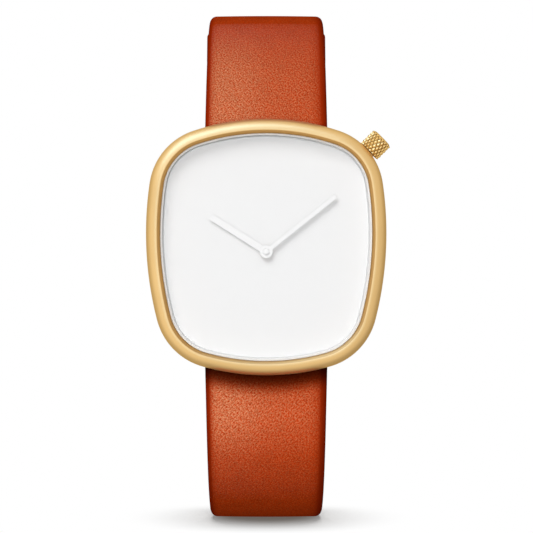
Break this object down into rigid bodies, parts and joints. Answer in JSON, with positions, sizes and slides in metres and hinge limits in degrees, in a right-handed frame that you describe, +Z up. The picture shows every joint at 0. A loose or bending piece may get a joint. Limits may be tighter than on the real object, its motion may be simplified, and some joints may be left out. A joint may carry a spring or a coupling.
{
  "type": "wristwatch",
  "caption": "Cushion-shaped gold-toned two-hand wristwatch with a blank white dial, knurled crown and an unbuckled brown leather strap.",
  "frame": {"origin": "on the surface that the watch stands on, under the middle of its box", "axes": "+Z up towards 12 o'clock, +X towards 3 o'clock, the dial faces -Y"},
  "size_m": [0.0396, 0.0577, 0.084],
  "materials": {
    "satin_gold": "satin gold-coloured plating on steel",
    "buckle_gold": "polished gold-coloured plating on steel",
    "steel": "brushed",
    "magnet": "ground",
    "brass": "polished",
    "copper_wire": "enamelled wire",
    "crystal_glass": "polished with a bevelled edge",
    "white_paint": "matte white",
    "white_plastic": "matte",
    "board_plastic": "lacquered laminate",
    "black_plastic": "moulded",
    "ruby": "polished",
    "black_rubber": "smooth",
    "leather": "fine pebble grain",
    "lining_leather": "smooth lining"
  },
  "bodies": {
    "case": {"case_middle": "satin_gold", "case_back": "steel", "case_back_gasket": "black_rubber", "crystal": "crystal_glass", "crystal_gasket": "white_plastic", "flange_ring": "white_plastic", "dial": "white_paint", "crown_tube": "satin_gold", "movement_holder": "white_plastic", "main_plate": "steel", "train_bridge": "steel", "train_jewels": "ruby", "movement_screws": "steel", "battery": "steel", "battery_clamp": "brass", "coil": "copper_wire", "coil_core": "steel", "stator": "steel", "circuit_board": "board_plastic", "quartz_can": "steel", "control_chip": "black_plastic"},
    "minute_train": {"centre_wheel": "brass", "cannon_pinion": "brass", "minute_hand": "white_paint", "hand_cap": "white_paint"},
    "hour_train": {"hour_wheel": "brass", "hour_hand": "white_paint"},
    "minute_wheel": {"minute_wheel": "brass"},
    "intermediate_wheel": {"intermediate_wheel": "brass"},
    "rotor": {"rotor": "magnet"},
    "crown_seal": {"crown_gasket": "black_rubber"},
    "crown_set": {"crown": "satin_gold", "stem": "steel"},
    "setting_lever": {"setting_lever": "steel"},
    "upper_strap": {"strap_upper": "leather", "strap_upper_lining": "lining_leather", "keeper_fixed": "leather", "upper_bar_tube": "steel", "upper_bar_spring": "steel"},
    "lower_strap": {"strap_lower": "leather", "strap_lower_lining": "lining_leather", "lower_bar_tube": "steel", "lower_bar_spring": "steel"},
    "sliding_keeper": {"keeper_sliding": "leather"},
    "buckle": {"buckle_frame": "buckle_gold", "buckle_bar_tube": "steel", "buckle_bar_spring": "steel"},
    "tongue": {"buckle_tongue": "buckle_gold"},
    "upper_bar_pin_left": {"upper_bar_pin_left": "steel"},
    "upper_bar_pin_right": {"upper_bar_pin_right": "steel"},
    "lower_bar_pin_left": {"lower_bar_pin_left": "steel"},
    "lower_bar_pin_right": {"lower_bar_pin_right": "steel"},
    "buckle_bar_pin_left": {"buckle_bar_pin_left": "steel"},
    "buckle_bar_pin_right": {"buckle_bar_pin_right": "steel"}
  },
  "joints": [
    {"name": "minute_spin", "type": "hinge", "parent": "case", "child": "minute_train", "pos_m": [0, -0.0266, 0.04442], "axis": [0, 1, 0], "continuous": true},
    {"name": "hour_spin", "type": "hinge", "parent": "case", "child": "hour_train", "pos_m": [0, -0.0262, 0.04442], "axis": [0, 1, 0], "continuous": true},
    {"name": "minute_wheel_spin", "type": "hinge", "parent": "case", "child": "minute_wheel", "pos_m": [-0.00173, -0.02535, 0.04542], "axis": [0, 1, 0], "continuous": true},
    {"name": "intermediate_spin", "type": "hinge", "parent": "case", "child": "intermediate_wheel", "pos_m": [0, -0.02455, 0.0409], "axis": [0, 1, 0], "continuous": true},
    {"name": "rotor_spin", "type": "hinge", "parent": "case", "child": "rotor", "pos_m": [-0.00109, -0.02455, 0.0379], "axis": [0, 1, 0], "continuous": true},
    {"name": "crown_pull", "type": "slide", "parent": "case", "child": "crown_seal", "axis": [0.7157, 0, 0.6984], "range_m": [0, 0.0009]},
    {"name": "crown_turn", "type": "hinge", "parent": "crown_seal", "child": "crown_set", "pos_m": [0.0167, -0.02425, 0.06072], "axis": [0.7157, 0, 0.6984], "continuous": true},
    {"name": "setting_lever_swing", "type": "hinge", "parent": "case", "child": "setting_lever", "pos_m": [0.00454, -0.02455, 0.05187], "axis": [0, -1, 0], "range_deg": [0, 24.11]},
    {"name": "upper_strap_swing", "type": "hinge", "parent": "case", "child": "upper_strap", "pos_m": [0, -0.02315, 0.06232], "axis": [1, 0, 0], "range_deg": [-6, 13]},
    {"name": "lower_strap_swing", "type": "hinge", "parent": "case", "child": "lower_strap", "pos_m": [0, -0.02315, 0.02797], "axis": [-1, 0, 0], "range_deg": [-6, 12]},
    {"name": "keeper_slide", "type": "hinge", "parent": "upper_strap", "child": "sliding_keeper", "pos_m": [0, -0.00391, 0.05477], "axis": [-1, 0, 0], "range_deg": [-20.5, 3.1]},
    {"name": "buckle_swing", "type": "hinge", "parent": "upper_strap", "child": "buckle", "pos_m": [0, 0.02265, 0.06364], "axis": [1, 0, 0], "range_deg": [-90, 60]},
    {"name": "tongue_swing", "type": "hinge", "parent": "buckle", "child": "tongue", "pos_m": [0, 0.02265, 0.06364], "axis": [1, 0, 0], "range_deg": [0, 75]},
    {"name": "upper_bar_pin_left_press", "type": "slide", "parent": "upper_strap", "child": "upper_bar_pin_left", "axis": [1, 0, 0], "range_m": [0, 0.001], "stiffness_N_per_m": 500, "springref_m": -0.002, "deforming": ["upper_bar_spring"]},
    {"name": "upper_bar_pin_right_press", "type": "slide", "parent": "upper_strap", "child": "upper_bar_pin_right", "axis": [-1, 0, 0], "range_m": [0, 0.001], "stiffness_N_per_m": 500, "springref_m": -0.002, "deforming": ["upper_bar_spring"]},
    {"name": "lower_bar_pin_left_press", "type": "slide", "parent": "lower_strap", "child": "lower_bar_pin_left", "axis": [1, 0, 0], "range_m": [0, 0.001], "stiffness_N_per_m": 500, "springref_m": -0.002, "deforming": ["lower_bar_spring"]},
    {"name": "lower_bar_pin_right_press", "type": "slide", "parent": "lower_strap", "child": "lower_bar_pin_right", "axis": [-1, 0, 0], "range_m": [0, 0.001], "stiffness_N_per_m": 500, "springref_m": -0.002, "deforming": ["lower_bar_spring"]},
    {"name": "buckle_bar_pin_left_press", "type": "slide", "parent": "buckle", "child": "buckle_bar_pin_left", "axis": [1, 0, 0], "range_m": [0, 0.001], "stiffness_N_per_m": 500, "springref_m": -0.002, "deforming": ["buckle_bar_spring"]},
    {"name": "buckle_bar_pin_right_press", "type": "slide", "parent": "buckle", "child": "buckle_bar_pin_right", "axis": [-1, 0, 0], "range_m": [0, 0.001], "stiffness_N_per_m": 500, "springref_m": -0.002, "deforming": ["buckle_bar_spring"]}
  ],
  "couplings": [
    {"joint": "hour_spin", "follows": "minute_spin", "ratio": 0.083333},
    {"joint": "minute_wheel_spin", "follows": "minute_spin", "ratio": -0.33333},
    {"joint": "intermediate_spin", "follows": "minute_spin", "ratio": -10},
    {"joint": "rotor_spin", "follows": "minute_spin", "ratio": 90},
    {"joint": "setting_lever_swing", "follows": "crown_pull", "rad_per_m": 457.78}
  ]
}
